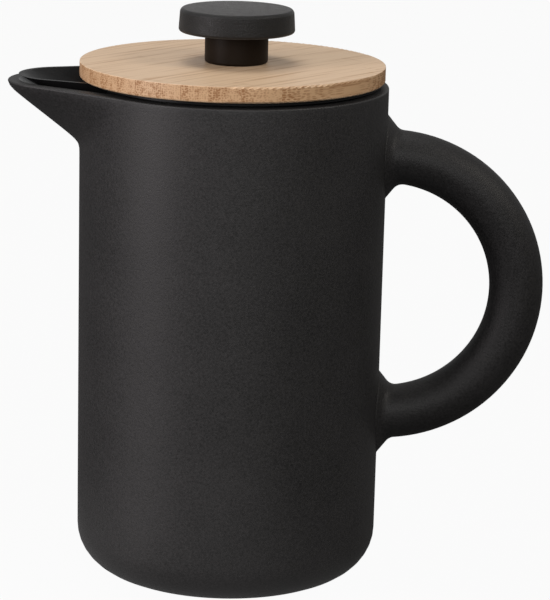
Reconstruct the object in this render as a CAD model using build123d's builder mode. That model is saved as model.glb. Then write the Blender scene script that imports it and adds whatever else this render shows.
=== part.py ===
from build123d import *
from math import asin, cos, radians, sin, sqrt, tan
import os

os.makedirs("parts", exist_ok=True)

# French press in millimetres, Z up. The origin is the middle of the base on the jug's axis.
# The spout points to -X and the handle to +X. The plunger is pressed down.

# Clearances
gap_free = 0.3  # between round faces that move past each other
gap_run = 0.05  # radial running fit of the rod in its guide and of the hub's thread
gap_fit = 0.02  # radial room of glued, screwed and pressed joints
gap_seat = 0.1  # axial room of captive pieces

# Jug
jug_h = 170.8  # height of the rim
base_r = 52.0  # outer radius at the base
mouth_flare = 0.3  # growth of the outer radius from base to rim
wall_t = 5.3
floor_t = 6.0
base_round = 14.6
bore_round = 10.0
rim_round = 0.7  # outside of the rim
lip_round = 0.8  # inside of the rim
foot_r = 31.0  # inner radius of the foot ring
foot_rise = 1.2
mouth_r = base_r + mouth_flare
bore_r = mouth_r - wall_t

# Spout: each level is the hull of the body's circle and a tip circle that follows the keel
keel_angle = 37.3  # slope of the keel from level
keel_drop = 22.0  # depth below the rim at which the straight keel would leave the wall
keel_blend = 2.8  # size of the hollow at the keel's root
core_in = 0.6  # how far the hull's body circle lies inside the wall
tip_r = 19.0
tip_taper = 0.38  # loss of tip radius for each millimetre of depth
spout_depth = 28.8
spout_steps = 6
spout_blunt = 3.5  # how far the blunt tip stops short of the straight keel's end
spout_turn = 2.0  # softness of the turn from keel to blunt tip
spout_lip = 2.6  # thickness of the lip at the spout's tip
spout_wall = 3.3  # thickness of the lip beside the tip
pour_drop = 17.3  # depth below the rim at which the hollow's floor leaves the bore
pour_side = 31.0  # angle of the hollow's sides from X
keel_z = jug_h - keel_drop
core_r = mouth_r - core_in
spout_end = core_r + keel_drop / tan(radians(keel_angle)) - spout_blunt
pour_tip = spout_end - spout_turn**2 / (4 * spout_blunt) - spout_lip
pour_r = tip_r - spout_wall
pour_z = jug_h - pour_drop

# Handle
grip_r = 9.2
grip_bend = 45.1  # radius of the grip's centre line
grip_out = 1.1  # centre of the bend outside the wall
grip_drop = 24.6  # depth of the upper root below the rim
flare_h = 14.7  # half height of a root where it meets the wall
flare_w = 12.0  # half width of a root
flare_reach = 6.0  # how far a root runs out along the grip
flare_in = 1.93  # how deep the flare ends inside the grip, above and below
flare_side_in = 4.71  # the same at the sides
flare_back = 1.4  # where the flare has its full width, behind the wall
flare_round = 4.0
crease_w = 0.5  # width of the luting groove along the wall, round each root
crease_d = 0.6  # depth of that groove
flare_rise = (flare_h - grip_r + flare_in) / flare_reach
flare_spread = (flare_w - grip_r + flare_side_in) / (flare_reach + flare_back)
grip_x = base_r + grip_out
grip_z = jug_h - grip_drop - grip_bend

# Lid disc
lid_in = 0.64  # how far the disc's edge lies inside the wall
lid_t = 5.37
rim_gap = 1.03  # shadow gap between rim and disc
lid_edge = 0.8
lid_r = mouth_r - lid_in
lid_z = jug_h + rim_gap  # underside
lid_top = lid_z + lid_t

# Lid insert
flange_w = 2.6  # width of the flange's seat on the rim
plate_t = 1.8
skirt_gap = 0.7
skirt_t = 2.0
skirt_drop = 22.8
seal_up = 1.7  # seal groove above the skirt's end
seal_h = 2.2
seal_depth = 1.0
trough_in = 1.2  # trough's tip inside the spout's hollow
trough_slim = 0.7  # tip radius less than the hollow's
trough_narrow = 1.5  # loss of tip radius at the trough's root
trough_t = 1.5
trough_side = 19.5  # angle of the trough's sides from X
trough_drop = 13.3  # depth below the rim at which its floor leaves the skirt
slot_count = 7
slot_w = 2.4
slot_h = 5.0
slot_pitch = 4.4  # degrees
flange_r = bore_r + flange_w
skirt_r = bore_r - skirt_gap
skirt_z = jug_h - skirt_drop
seal_z = skirt_z + seal_up
trough_tip = pour_tip - trough_in
trough_r = pour_r - trough_slim
trough_root_r = trough_r - trough_narrow
trough_z = jug_h - trough_drop

# Screws between disc and insert
screw_count = 3
screw_in = 16.3  # screw centres inside the skirt
screw_r = 1.5
screw_bite = 3.6
screw_head_r = 3.0
screw_head_t = 2.0
screw_ring = skirt_r - screw_in

# Rod and its guide
rod_r = 2.5
guide_r = 4.2
guide_flange_r = 6.6
guide_flange_t = 1.2
guide_drop = 6.3  # length of the guide below the disc

# Knob
stem_r = 10.7
stem_h = 10.66
stem_round = 1.0
cap_r = 19.7
cap_draft = 0.45  # loss of radius from the cap's underside to its upper edge
cap_h = 7.9
crown_h = 1.9  # height of the crowned top above the cap's upper edge
crown_w = 4.0  # width of the crown's curve, inside that edge
crown_edge = 0.25  # rounding of the upper edge
cap_edge = 0.9  # rounding of the lower edge
spigot_r = 6.0
spigot_h = 3.6
thread_r = 4.0
thread_h = 8.0
thread_z = lid_top + 0.5
cap_z = lid_top + stem_h
crown_r = cap_r - cap_draft - crown_w

# Filter
mesh_z = 22.0  # underside of the mesh
mesh_t = 0.6
mesh_gap = 0.4  # between the mesh's edge and the bore
mesh_edge_t = 0.6
mesh_edge_h = 7.2
coil_r = 2.1
plate_gauge = 0.8
dish_h = 5.8
dish_lip = 2.1
hole_r = 4.5
hole_count = 10
hole_place = 0.72  # ring of holes as a share of the dish's radius
inner_count = 5
inner_place = 0.385
cross_in = 4.5  # cross plate's edge inside the bore
cross_t = 1.2
cross_drop = 2.0  # depth of the turned-down edge
window_rim = 5.5
window_in = 11.0
spoke_w = 8.0
hub_flat = 13.0  # across flats
hub_h = 5.8
hub_spigot_r = 5.0
rod_end = 0.5  # how far the rod stops above the hub's end
collar_r = 6.0
collar_h = 4.0
mesh_r = bore_r - mesh_gap
coil_ring = mesh_r - mesh_edge_t - 2 * gap_seat - coil_r
dish_r = coil_ring - coil_r - gap_seat
hole_ring = dish_r * hole_place
inner_ring = dish_r * inner_place
cross_r = bore_r - cross_in
window_r = cross_r - window_rim


def flank(tip, radius, side, back):
    """Where a spout outline's side leaves the tip circle (x, y), and its y at the closing line."""
    x = radius - tip - radius * sin(side)
    y = radius * cos(side)
    return x, y, y + (back - x) * tan(side)


# Outer form of the jug's body, also the shape that the handle's roots are fitted to
with BuildPart() as body_form:
    with BuildSketch(Plane.XZ) as body_section:
        with BuildLine():
            Polyline(
                (0, foot_rise),
                (foot_r - foot_rise, foot_rise),
                (foot_r, 0),
                (base_r, 0),
                (mouth_r, jug_h),
                (0, jug_h),
                close=True,
            )
        make_face()
        fillet(body_section.vertices().group_by(Axis.Y)[-1].sort_by(Axis.X)[-1], rim_round)
        fillet(body_section.vertices().group_by(Axis.Y)[0].sort_by(Axis.X)[-1], base_round)
    revolve(axis=Axis.Z)

# Pulled spout, solid
with BuildPart() as spout_form:
    for step in range(spout_steps + 1):
        level = jug_h - spout_depth * (1 - step / spout_steps)
        reach = (level - keel_z) / tan(radians(keel_angle))
        tip = core_r + (reach + sqrt(reach**2 + keel_blend**2)) / 2
        tip = (tip + spout_end - sqrt((tip - spout_end) ** 2 + spout_turn**2)) / 2
        radius = tip_r - tip_taper * (jug_h - level)
        side = asin((core_r - radius) / (tip - radius))
        back = -core_r * sin(side)
        x, y, y_back = flank(tip, radius, side, back)
        with BuildSketch(Plane.XY.offset(level)):
            with BuildLine():
                Line((back, y_back), (x, y))
                ThreePointArc((x, y), (-tip, 0), (x, -y))
                Line((x, -y), (back, -y_back))
                Line((back, -y_back), (back, y_back))
            make_face()
    loft()
    rim_edges = spout_form.faces().sort_by(Axis.Z)[-1].edges().sort_by(Axis.X)[:3]
    fillet(rim_edges, rim_round)

# Hollow of the spout
pour_slope = (pour_tip - bore_r) / (jug_h - pour_z)
with BuildPart() as spout_hollow:
    for level in (pour_z - rim_round, jug_h + rim_round):
        tip = bore_r + pour_slope * (level - pour_z)
        radius = pour_r - tip_taper * (jug_h - level)
        x, y, y_back = flank(tip, radius, radians(pour_side), -bore_r * 0.64)
        with BuildSketch(Plane.XY.offset(level)):
            with BuildLine():
                Line((-bore_r * 0.64, y_back), (x, y))
                ThreePointArc((x, y), (-tip, 0), (x, -y))
                Line((x, -y), (-bore_r * 0.64, -y_back))
                Line((-bore_r * 0.64, -y_back), (-bore_r * 0.64, y_back))
            make_face()
    loft(ruled=True)

with BuildPart() as jug:
    add(body_form.part)
    add(spout_form.part)
    with BuildSketch(Plane.XZ) as bore_section:
        with BuildLine():
            Polyline((0, jug_h + 1), (0, floor_t), (bore_r, floor_t), (bore_r, jug_h - lip_round))
            RadiusArc((bore_r, jug_h - lip_round), (bore_r + lip_round, jug_h), lip_round)
            Polyline((bore_r + lip_round, jug_h), (bore_r + lip_round, jug_h + 1), (0, jug_h + 1))
        make_face()
        fillet(bore_section.vertices().sort_by(Axis.Y)[:2].sort_by(Axis.X)[-1], bore_round)
    revolve(axis=Axis.Z, mode=Mode.SUBTRACT)
    add(spout_hollow.part, mode=Mode.SUBTRACT)
jug.part.label = "jug"

# Luting groove: a sleeve along the wall that leaves out each root's core
with BuildPart() as crease_form:
    with BuildSketch(Plane.XZ):
        with BuildLine():
            Polyline(
                (bore_r, 0),
                (base_r + crease_w, 0),
                (mouth_r + crease_w, jug_h),
                (bore_r, jug_h),
                close=True,
            )
        make_face()
    revolve(axis=Axis.Z)
    for root_z in (grip_z + grip_bend, grip_z - grip_bend):
        for offset in (-flare_reach / 2, flare_reach):
            with BuildSketch(Plane((base_r + offset, 0, root_z), x_dir=(0, 1, 0), z_dir=(1, 0, 0))):
                Ellipse(
                    flare_w - flare_spread * (offset + flare_back) - crease_d,
                    flare_h - flare_rise * offset - crease_d,
                )
        loft(ruled=True, mode=Mode.SUBTRACT)

# Handle: half ring with a flared root at each end, fitted to the wall
root_x = base_r - flare_reach
with BuildPart() as handle:
    with BuildLine(Plane.XZ) as grip_line:
        Line((root_x, grip_z + grip_bend), (grip_x, grip_z + grip_bend))
        ThreePointArc(
            (grip_x, grip_z + grip_bend),
            (grip_x + grip_bend, grip_z),
            (grip_x, grip_z - grip_bend),
        )
        Line((grip_x, grip_z - grip_bend), (root_x, grip_z - grip_bend))
    with BuildSketch(Plane((root_x, 0, grip_z + grip_bend), x_dir=(0, 1, 0), z_dir=(1, 0, 0))):
        Circle(grip_r)
    sweep()
    for root_z in (grip_z + grip_bend, grip_z - grip_bend):
        for offset in (-flare_reach / 2, flare_reach):
            with BuildSketch(Plane((base_r + offset, 0, root_z), x_dir=(0, 1, 0), z_dir=(1, 0, 0))):
                Ellipse(flare_w - flare_spread * (offset + flare_back), flare_h - flare_rise * offset)
        loft(ruled=True)
    fillet(handle.edges().filter_by_position(Axis.X, mouth_r, base_r + flare_reach), flare_round)
    add(body_form.part, mode=Mode.SUBTRACT)
    add(crease_form.part, mode=Mode.SUBTRACT)
handle.part.label = "handle"

# Bamboo disc
with BuildPart() as lid_disc:
    with BuildSketch(Plane.XY.offset(lid_z)):
        Circle(lid_r)
    extrude(amount=lid_t)
    fillet(lid_disc.edges(), lid_edge)
    with BuildSketch(Plane.XY.offset(lid_z)):
        Circle(guide_r + gap_free)
    extrude(amount=lid_t, mode=Mode.SUBTRACT)
    with BuildSketch(Plane.XY.offset(lid_z)):
        Circle(guide_flange_r + gap_free)
    extrude(amount=guide_flange_t + gap_seat, mode=Mode.SUBTRACT)
    with BuildSketch(Plane.XY.offset(lid_z)):
        with PolarLocations(screw_ring, screw_count, start_angle=90):
            Circle(screw_r)
    extrude(amount=screw_bite + gap_seat, mode=Mode.SUBTRACT)
lid_disc.part.label = "lid_disc"

# Pouring trough of the insert: outer form and hollow, both left out inside the skirt
trough_slope = (trough_tip - skirt_r) / (lid_z - trough_z)
floor_in = trough_t * sqrt(1 + trough_slope**2)  # level distance through the sloping floor
with BuildPart() as trough_form:
    for level in (trough_z, lid_z):
        share = (level - trough_z) / (lid_z - trough_z)
        tip = skirt_r + trough_slope * (level - trough_z)
        radius = trough_root_r + (trough_r - trough_root_r) * share
        x, y, y_back = flank(tip, radius, radians(trough_side), -skirt_r * 0.64)
        with BuildSketch(Plane.XY.offset(level)):
            with BuildLine():
                Line((-skirt_r * 0.64, y_back), (x, y))
                ThreePointArc((x, y), (-tip, 0), (x, -y))
                Line((x, -y), (-skirt_r * 0.64, -y_back))
                Line((-skirt_r * 0.64, -y_back), (-skirt_r * 0.64, y_back))
            make_face()
    loft(ruled=True)
    with BuildSketch(Plane.XY.offset(trough_z)):
        Circle(skirt_r - skirt_t / 2)
    extrude(amount=lid_z - trough_z, mode=Mode.SUBTRACT)

with BuildPart() as trough_hollow:
    for level in (trough_z + trough_t, lid_z):
        share = (level - trough_z) / (lid_z - trough_z)
        inset = floor_in + (trough_t - floor_in) * share
        tip = skirt_r + trough_slope * (level - trough_z) - inset
        radius = trough_root_r + (trough_r - trough_root_r) * share - trough_t
        x, y, y_back = flank(tip, radius, radians(trough_side), -skirt_r * 0.64)
        with BuildSketch(Plane.XY.offset(level)):
            with BuildLine():
                Line((-skirt_r * 0.64, y_back), (x, y))
                ThreePointArc((x, y), (-tip, 0), (x, -y))
                Line((x, -y), (-skirt_r * 0.64, -y_back))
                Line((-skirt_r * 0.64, -y_back), (-skirt_r * 0.64, y_back))
            make_face()
    loft(ruled=True)
    with BuildSketch(Plane.XY.offset(trough_z)):
        Circle(skirt_r)
    extrude(amount=lid_z - trough_z, mode=Mode.SUBTRACT)

with BuildPart() as lid_insert:
    with BuildSketch(Plane.XZ):
        with BuildLine():
            Polyline(
                (guide_r + gap_free, lid_z - plate_t),
                (skirt_r - skirt_t, lid_z - plate_t),
                (skirt_r - skirt_t, skirt_z),
                (skirt_r, skirt_z),
                (skirt_r, seal_z),
                (skirt_r - seal_depth, seal_z),
                (skirt_r - seal_depth, seal_z + seal_h),
                (skirt_r, seal_z + seal_h),
                (skirt_r, jug_h),
                (flange_r, jug_h),
                (flange_r, lid_z),
                (guide_r + gap_free, lid_z),
                close=True,
            )
        make_face()
    revolve(axis=Axis.Z)
    add(trough_form.part)
    add(trough_hollow.part, mode=Mode.SUBTRACT)
    slot_span = slot_pitch * (slot_count - 1)
    with BuildSketch(Plane.XY.offset(lid_z - plate_t - slot_h)):
        with PolarLocations(skirt_r - skirt_t / 2, slot_count, 180 - slot_span / 2, slot_span, endpoint=True):
            Rectangle(skirt_t + 2 * gap_free, slot_w)
    extrude(amount=slot_h, mode=Mode.SUBTRACT)
    with BuildSketch(Plane.XY.offset(lid_z - plate_t)):
        with PolarLocations(screw_ring, screw_count, start_angle=90):
            Circle(screw_r + gap_seat)
    extrude(amount=plate_t, mode=Mode.SUBTRACT)
lid_insert.part.label = "lid_insert"

# Silicone ring with a wiping lip
with BuildPart() as lid_seal:
    with BuildSketch(Plane.XZ):
        with BuildLine():
            Polyline(
                (skirt_r - seal_depth, seal_z),
                (skirt_r, seal_z),
                (bore_r - gap_free, seal_z + seal_h * 0.7),
                (bore_r - gap_free, seal_z + seal_h),
                (skirt_r - seal_depth, seal_z + seal_h),
                close=True,
            )
        make_face()
    revolve(axis=Axis.Z)
lid_seal.part.label = "lid_seal"

# Three pan-head screws, driven from below
with BuildPart() as lid_screws:
    with BuildSketch(Plane.XY.offset(lid_z - plate_t - screw_head_t)):
        with PolarLocations(screw_ring, screw_count, start_angle=90):
            Circle(screw_head_r)
    extrude(amount=screw_head_t)
    fillet(lid_screws.edges().group_by(Axis.Z)[0], screw_head_t / 3)
    with BuildSketch(Plane.XY.offset(lid_z - plate_t)):
        with PolarLocations(screw_ring, screw_count, start_angle=90):
            Circle(screw_r - gap_fit)
    extrude(amount=plate_t + screw_bite)
lid_screws.part.label = "lid_screws"

# Guide sleeve, captive between disc and insert
with BuildPart() as rod_guide:
    with BuildSketch(Plane.XY.offset(lid_z - guide_drop)):
        Circle(guide_r)
    extrude(amount=guide_drop + lid_t - gap_free)
    with BuildSketch(Plane.XY.offset(lid_z)):
        Circle(guide_flange_r)
    extrude(amount=guide_flange_t)
    with BuildSketch(Plane.XY.offset(lid_z - guide_drop)):
        Circle(rod_r + gap_run)
    extrude(amount=guide_drop + lid_t, mode=Mode.SUBTRACT)
rod_guide.part.label = "rod_guide"

# Knob: cap glued on the stem's spigot
with BuildPart() as knob_cap:
    with BuildSketch(Plane.XZ) as cap_section:
        with BuildLine():
            Polyline(
                (crown_r, cap_z + cap_h),
                (0, cap_z + cap_h),
                (0, cap_z + spigot_h + gap_seat),
                (spigot_r + gap_fit, cap_z + spigot_h + gap_seat),
                (spigot_r + gap_fit, cap_z),
                (cap_r, cap_z),
                (cap_r - cap_draft, cap_z + cap_h - crown_h),
            )
            TangentArc(
                (crown_r, cap_z + cap_h),
                (cap_r - cap_draft, cap_z + cap_h - crown_h),
                tangent=(1, 0),
            )
        make_face()
        fillet(cap_section.vertices().sort_by(Axis.X)[-2], crown_edge)
        fillet(cap_section.vertices().group_by(Axis.Y)[0].sort_by(Axis.X)[-1], cap_edge)
    revolve(axis=Axis.Z)
knob_cap.part.label = "knob_cap"

with BuildPart() as knob_stem:
    with BuildSketch(Plane.XY.offset(lid_top)):
        Circle(stem_r)
    extrude(amount=stem_h)
    fillet(knob_stem.edges().group_by(Axis.Z)[0], stem_round)
    with BuildSketch(Plane.XY.offset(cap_z)):
        Circle(spigot_r)
    extrude(amount=spigot_h)
    with BuildSketch(Plane.XY.offset(lid_top)):
        Circle(thread_r)
    extrude(amount=thread_z - lid_top + thread_h + gap_seat, mode=Mode.SUBTRACT)
knob_stem.part.label = "knob_stem"

with BuildPart() as knob_thread:
    with BuildSketch(Plane.XY.offset(thread_z)):
        Circle(thread_r - gap_fit)
        Circle(rod_r + gap_fit, mode=Mode.SUBTRACT)
    extrude(amount=thread_h)
knob_thread.part.label = "knob_thread"

# Rod and its collar
hub_z = mesh_z - cross_t - hub_h
rod_z = hub_z + rod_end
with BuildPart() as plunger_rod:
    with BuildSketch(Plane.XY.offset(rod_z)):
        Circle(rod_r)
    extrude(amount=thread_z + thread_h - rod_z)
    chamfer(plunger_rod.edges().filter_by(GeomType.CIRCLE), rod_r / 5)
plunger_rod.part.label = "plunger_rod"

dish_z = mesh_z + mesh_t
with BuildPart() as rod_collar:
    with BuildSketch(Plane.XY.offset(dish_z + plate_gauge)):
        Circle(collar_r)
    extrude(amount=collar_h)
    chamfer(rod_collar.edges().group_by(Axis.Z)[-1], collar_h / 5)
    with BuildSketch(Plane.XY.offset(dish_z + plate_gauge)):
        Circle(rod_r + gap_fit)
    extrude(amount=collar_h, mode=Mode.SUBTRACT)
rod_collar.part.label = "rod_collar"

# Spring plate: dish with a lip that holds the coil
with BuildPart() as spring_plate:
    with BuildSketch(Plane.XZ):
        with BuildLine():
            Polyline(
                (rod_r + gap_free, dish_z),
                (dish_r, dish_z),
                (dish_r, dish_z + dish_h - plate_gauge),
                (dish_r + dish_lip, dish_z + dish_h - plate_gauge),
                (dish_r + dish_lip, dish_z + dish_h),
                (dish_r - plate_gauge, dish_z + dish_h),
                (dish_r - plate_gauge, dish_z + plate_gauge),
                (rod_r + gap_free, dish_z + plate_gauge),
                close=True,
            )
        make_face()
    revolve(axis=Axis.Z)
    with BuildSketch(Plane.XY.offset(dish_z)):
        with PolarLocations(hole_ring, hole_count):
            Circle(hole_r)
        with PolarLocations(inner_ring, inner_count):
            Circle(hole_r)
    extrude(amount=plate_gauge, mode=Mode.SUBTRACT)
spring_plate.part.label = "spring_plate"

# Garter spring, as the ring that its turns fill
with BuildPart() as coil_spring:
    with BuildSketch(Plane.XZ):
        with Locations((coil_ring, dish_z + coil_r + gap_seat)):
            Circle(coil_r)
    revolve(axis=Axis.Z)
coil_spring.part.label = "coil_spring"

# Mesh with its upturned edge
with BuildPart() as filter_mesh:
    with BuildSketch(Plane.XZ):
        with BuildLine():
            Polyline(
                (rod_r + gap_free, mesh_z),
                (mesh_r, mesh_z),
                (mesh_r, mesh_z + mesh_edge_h),
                (mesh_r - mesh_edge_t, mesh_z + mesh_edge_h),
                (mesh_r - mesh_edge_t, mesh_z + mesh_t),
                (rod_r + gap_free, mesh_z + mesh_t),
                close=True,
            )
        make_face()
    revolve(axis=Axis.Z)
filter_mesh.part.label = "filter_mesh"

# Cross plate with turned-down edge, and the hub pressed into it
with BuildPart() as cross_plate:
    with BuildSketch(Plane.XY.offset(mesh_z - cross_t)):
        Circle(cross_r)
    extrude(amount=cross_t)
    with BuildSketch(Plane.XY.offset(mesh_z - cross_t - cross_drop)):
        Circle(cross_r)
        Circle(cross_r - cross_t, mode=Mode.SUBTRACT)
    extrude(amount=cross_drop)
    with BuildSketch(Plane.XY.offset(mesh_z - cross_t)):
        Circle(window_r)
        Circle(window_in, mode=Mode.SUBTRACT)
        Rectangle(2 * cross_r, spoke_w, mode=Mode.SUBTRACT)
        Rectangle(spoke_w, 2 * cross_r, mode=Mode.SUBTRACT)
    extrude(amount=cross_t, mode=Mode.SUBTRACT)
    with BuildSketch(Plane.XY.offset(mesh_z - cross_t)):
        Circle(hub_spigot_r + gap_fit)
    extrude(amount=cross_t, mode=Mode.SUBTRACT)
cross_plate.part.label = "cross_plate"

with BuildPart() as hub_nut:
    with BuildSketch(Plane.XY.offset(hub_z)):
        RegularPolygon(hub_flat / 2, 6, major_radius=False)
    extrude(amount=hub_h)
    chamfer(hub_nut.edges().group_by(Axis.Z)[0], rod_r / 4)
    with BuildSketch(Plane.XY.offset(hub_z + hub_h)):
        Circle(hub_spigot_r)
    extrude(amount=cross_t)
    with BuildSketch(Plane.XY.offset(hub_z)):
        Circle(rod_r + gap_run)
    extrude(amount=hub_h + cross_t, mode=Mode.SUBTRACT)
hub_nut.part.label = "hub_nut"

export_step(jug.part, "parts/jug.step")
export_step(handle.part, "parts/handle.step")
export_step(lid_disc.part, "parts/lid_disc.step")
export_step(lid_insert.part, "parts/lid_insert.step")
export_step(lid_seal.part, "parts/lid_seal.step")
export_step(lid_screws.part, "parts/lid_screws.step")
export_step(rod_guide.part, "parts/rod_guide.step")
export_step(knob_cap.part, "parts/knob_cap.step")
export_step(knob_stem.part, "parts/knob_stem.step")
export_step(knob_thread.part, "parts/knob_thread.step")
export_step(plunger_rod.part, "parts/plunger_rod.step")
export_step(rod_collar.part, "parts/rod_collar.step")
export_step(spring_plate.part, "parts/spring_plate.step")
export_step(coil_spring.part, "parts/coil_spring.step")
export_step(filter_mesh.part, "parts/filter_mesh.step")
export_step(cross_plate.part, "parts/cross_plate.step")
export_step(hub_nut.part, "parts/hub_nut.step")
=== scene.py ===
import math
from contextlib import contextmanager

import bmesh
import bpy
from bpy.props import FloatProperty, FloatVectorProperty, IntProperty, PointerProperty
from mathutils import Matrix, Vector


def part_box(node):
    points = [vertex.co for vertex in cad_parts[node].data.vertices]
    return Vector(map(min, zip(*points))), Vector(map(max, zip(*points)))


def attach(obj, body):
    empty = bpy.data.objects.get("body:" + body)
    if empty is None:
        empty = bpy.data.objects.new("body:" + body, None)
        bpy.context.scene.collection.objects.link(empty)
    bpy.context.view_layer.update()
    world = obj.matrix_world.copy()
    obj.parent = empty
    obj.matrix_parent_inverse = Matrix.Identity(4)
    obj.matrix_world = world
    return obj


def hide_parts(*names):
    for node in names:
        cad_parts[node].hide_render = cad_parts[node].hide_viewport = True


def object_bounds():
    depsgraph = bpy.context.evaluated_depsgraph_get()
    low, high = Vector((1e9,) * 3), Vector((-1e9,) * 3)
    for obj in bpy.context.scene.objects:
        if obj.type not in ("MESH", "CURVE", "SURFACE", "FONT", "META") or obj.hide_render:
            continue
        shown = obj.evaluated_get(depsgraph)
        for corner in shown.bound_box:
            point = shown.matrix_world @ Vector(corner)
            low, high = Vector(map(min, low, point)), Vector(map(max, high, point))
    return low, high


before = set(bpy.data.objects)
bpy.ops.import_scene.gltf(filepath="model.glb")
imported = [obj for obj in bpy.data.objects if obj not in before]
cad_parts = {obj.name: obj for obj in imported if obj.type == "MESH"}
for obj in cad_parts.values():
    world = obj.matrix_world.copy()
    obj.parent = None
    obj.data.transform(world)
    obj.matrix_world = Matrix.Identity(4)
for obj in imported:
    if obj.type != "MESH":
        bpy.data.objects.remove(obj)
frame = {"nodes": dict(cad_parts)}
cad_low, cad_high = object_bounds()
jug_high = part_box("jug")[1]
lid_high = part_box("lid_disc")[1]
coil_low, coil_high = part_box("coil_spring")

bl_info = {
    "name": "French Press",
    "version": (1, 0, 0),
    "blender": (4, 5, 0),
    "location": "View3D > Sidebar > French Press",
    "description": "Stoneware french press with bamboo lid, knob, plunger and filter",
    "category": "Object",
}

RIM_TRIM = 0.0008  # how far the jug's rim is turned down from the frame's
RIM_STEPS, LIP_STEPS = 8, 5  # steps round the rim's outer and inner edge
SPOUT_DEPTH = 0.034  # below the rim: from here up, the outside has dense rows for the spout
HOLLOW_DEPTH = 0.022  # below the rim: from here up, the inside has dense rows for the hollow
SAME_POINT = 0.000002  # corners of a CAD copy's loose triangles this near are joined
ON_WALL, OFF_WALL = 0.00003, 0.0003  # a handle root's corner this near the wall lies on it, or stands off it
ROOT_SINK, ROOT_PROUD = -0.00005, 0.0002  # where the drawn-out clay of a root ends and starts, from the wall
OUTER_SHARE = 0.9  # corners beyond this share of a radius belong to the outer edge
WIRE_SIDES, WIRE_STEPS = 8, 12  # sides of the spring's wire and steps of one turn
SPRING_CLOSE = 0.9995  # share of the full circle that the spring is bent to before its ends are joined
NOISE_RANGE = (0.30, 0.70)  # where most values of a noise lie
SHEEN_ROUGH = 0.45
SPIN_SEAM = 0.000005  # the spun jug's first and last rows are joined within this
AXIS = 0.001  # corners nearer the press's axis are on it
WHITE = (1.0, 1.0, 1.0, 1.0)
FLOOR_SIDE, FLOOR_DROP = 8.0, 0.0001
# The floor's reflections are whiter, and its paint paler, in a pool of light painted round the press
FLOOR_WHITE, FLOOR_MIRRORED = 0.955, (0.02, 0.26)  # how white the floor looks, direct and in reflections
LIGHT_POOL, LIGHT_POOL_FAR, LIGHT_POOL_NEAR = (-0.05, -0.08, 0.0), 0.17, 0.05  # a pool of light painted round the press, as paler floor paint and whiter reflections, and its fade
WORLD_LIGHT, WORLD_MIRRORED = 0.03, 0.40  # the world's light, and how white it looks in reflections

# Name, place, point it faces, width and height, power and tint of each lamp
LAMPS = (
    ("top_softbox", (-0.20, 0.22, 1.46), (0.0, 0.0, 0.17), (0.80, 0.80), 8.4, (1.0, 0.99, 0.975)),
    ("left_strip", (-1.092, -0.631, 0.414), (0.0, 0.0, 0.10), (0.50, 1.1), 15.1, (1.0, 0.935, 0.952)),
    ("front_softbox", (0.087, -1.240, 0.627), (0.0, 0.0, 0.10), (1.0, 0.5), 7.2, (1.0, 0.99, 0.98)),
    ("right_softbox", (1.009, -0.408, 0.981), (0.0, 0.0, 0.15), (0.5, 0.5), 5.4, (1.0, 0.94, 0.86)),
)


def length(name, description, default):
    return FloatProperty(name=name, description=description, default=default, unit="LENGTH", precision=5)


def angle(name, description, degrees):
    return FloatProperty(name=name, description=description, default=math.radians(degrees), subtype="ANGLE")


def colour(name, description, default):
    return FloatVectorProperty(
        name=name, description=description, default=default, subtype="COLOR", size=3, min=0.0, max=1.0
    )


class JugSizes(bpy.types.PropertyGroup):
    """Sizes of the thrown jug and its pulled spout."""

    rim_height: length("Rim height", "Height of the rim above the table", jug_high.z - RIM_TRIM)
    base_radius: length("Base radius", "Outer radius at the base", 0.0520)
    mouth_radius: length("Mouth radius", "Outer radius at the rim", jug_high.y)
    wall: length("Wall", "Thickness of the wall at the rim", 0.0053)
    floor: length("Floor", "Thickness of the floor", 0.0060)
    base_round: length("Base rounding", "Radius of the rounded base", 0.0146)
    bore_round: length("Inner rounding", "Radius between floor and bore", 0.0100)
    rim_round: length("Rim rounding", "Radius of the rim's outer edge", 0.0005)
    lip_round: length("Lip rounding", "Radius of the rim's inner edge", 0.0008)
    foot_radius: length("Foot radius", "Inner radius of the foot ring", 0.0310)
    foot_rise: length("Foot rise", "Depth of the hollow inside the foot ring", 0.0012)
    keel_angle: angle("Keel angle", "Slope of the spout's keel from level", 37.3)
    keel_drop: length("Keel drop", "Depth below the rim at which the keel leaves the wall", 0.0212)
    keel_blend: length("Keel blend", "Softness of the keel's root", 0.0028)
    core_inset: length("Core inset", "How far the spout's flanks start inside the wall", 0.0006)
    tip_radius: length("Tip radius", "Radius of the spout's tip at the rim", 0.0187)
    tip_taper: FloatProperty(
        name="Tip taper", description="Loss of tip radius for each unit of depth", default=0.38
    )
    spout_blunt: length("Blunt tip", "How far the tip stops short of the straight keel's end", 0.00245)
    spout_turn: length("Tip softness", "Softness of the turn from keel to blunt tip", 0.0020)
    pour_tip: length("Hollow reach", "Reach of the spout's hollow at the rim", 0.07294)
    pour_radius: length("Hollow radius", "Radius of the hollow's tip at the rim", 0.0154)
    pour_drop: length("Hollow drop", "Depth below the rim at which the hollow leaves the bore", 0.0165)
    pour_side: angle("Hollow sides", "Angle of the hollow's sides", 31.0)
    valley: length("Valley softness", "Softness of the valley between spout and body", 0.00055)
    root_space: length("Root spacing", "Height of a handle root from the middle of the handle", 0.0451)
    root_smooth: length("Root smoothing", "How far a root's clay is drawn out along the wall", 0.00095)
    segments: IntProperty(name="Segments", description="Steps round the jug", default=288, min=24)


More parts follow.
